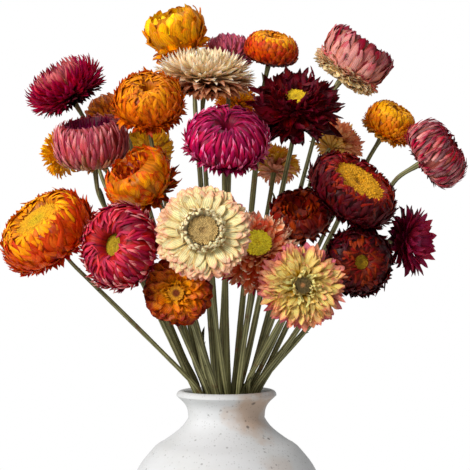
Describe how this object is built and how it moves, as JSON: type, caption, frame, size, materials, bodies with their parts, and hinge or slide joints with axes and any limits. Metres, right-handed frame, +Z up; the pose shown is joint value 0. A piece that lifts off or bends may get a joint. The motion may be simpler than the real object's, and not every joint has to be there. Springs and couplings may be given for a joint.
{
  "type": "dried flower bouquet in vase",
  "caption": "Dried everlasting daisy heads in mixed warm colours, fanned out on thin stems and standing in a round speckled ceramic vase with a flared neck.",
  "frame": {"origin": "centre of the vase's flat underside", "axes": "+Z up along the vase's axis, front towards -Y, +X to the right as seen from the front"},
  "size_m": [0.2495, 0.1768, 0.3375],
  "materials": {
    "ceramic": "matt off-white stoneware with fine dark specks",
    "stem": "dry grey-olive plant stem, finely ribbed",
    "crimson_bracts": "dry papery bracts, dull sheen",
    "pink_bracts": "dry papery bracts, dull sheen",
    "yellow_bracts": "dry papery bracts, dull sheen",
    "orange_bracts": "dry papery bracts, dull sheen",
    "amber_bracts": "dry papery bracts, dull sheen",
    "cream_bracts": "dry papery bracts, dull sheen",
    "plum_bracts": "dry papery bracts, dull sheen",
    "magenta_bracts": "dry papery bracts, dull sheen",
    "maroon_bracts": "dry papery bracts, dull sheen",
    "blush_bracts": "dry papery bracts, dull sheen",
    "wine_bracts": "dry papery bracts, dull sheen",
    "rust_bracts": "dry papery bracts, dull sheen",
    "salmon_bracts": "dry papery bracts, dull sheen",
    "copper_bracts": "dry papery bracts, dull sheen",
    "gold_bracts": "dry papery bracts, dull sheen"
  },
  "bodies": {
    "root": {"vase": "ceramic", "crimson_top_left_head": "crimson_bracts", "crimson_top_left_stem": "stem", "pink_left_head": "pink_bracts", "pink_left_stem": "stem", "yellow_left_rear_head": "yellow_bracts", "yellow_left_rear_stem": "stem", "orange_ball_head": "orange_bracts", "orange_ball_stem": "stem", "amber_rear_left_head": "amber_bracts", "amber_rear_left_stem": "stem", "yellow_top_head": "yellow_bracts", "yellow_top_stem": "stem", "cream_top_head": "cream_bracts", "cream_top_stem": "stem", "plum_top_rear_head": "plum_bracts", "plum_top_rear_stem": "stem", "orange_top_head": "orange_bracts", "orange_top_stem": "stem", "orange_rear_head": "orange_bracts", "orange_rear_stem": "stem", "magenta_mid_head": "magenta_bracts", "magenta_mid_stem": "stem", "maroon_top_head": "maroon_bracts", "maroon_top_stem": "stem", "pink_top_right_head": "pink_bracts", "pink_top_right_stem": "stem", "blush_rear_head": "blush_bracts", "blush_rear_stem": "stem", "orange_right_head": "orange_bracts", "orange_right_stem": "stem", "crimson_right_head": "crimson_bracts", "crimson_right_stem": "stem", "maroon_right_head": "maroon_bracts", "maroon_right_stem": "stem", "wine_low_right_head": "wine_bracts", "wine_low_right_stem": "stem", "maroon_low_head": "maroon_bracts", "maroon_low_stem": "stem", "rust_mid_head": "rust_bracts", "rust_mid_stem": "stem", "cream_low_head": "cream_bracts", "cream_low_stem": "stem", "salmon_mid_head": "salmon_bracts", "salmon_mid_stem": "stem", "cream_mid_head": "cream_bracts", "cream_mid_stem": "stem", "magenta_left_head": "magenta_bracts", "magenta_left_stem": "stem", "orange_left_head": "orange_bracts", "orange_left_stem": "stem", "orange_cup_head": "orange_bracts", "orange_cup_stem": "stem", "copper_low_head": "copper_bracts", "copper_low_stem": "stem", "yellow_rear_head": "yellow_bracts", "yellow_rear_stem": "stem", "gold_rear_head": "gold_bracts", "gold_rear_stem": "stem"}
  },
  "joints": []
}
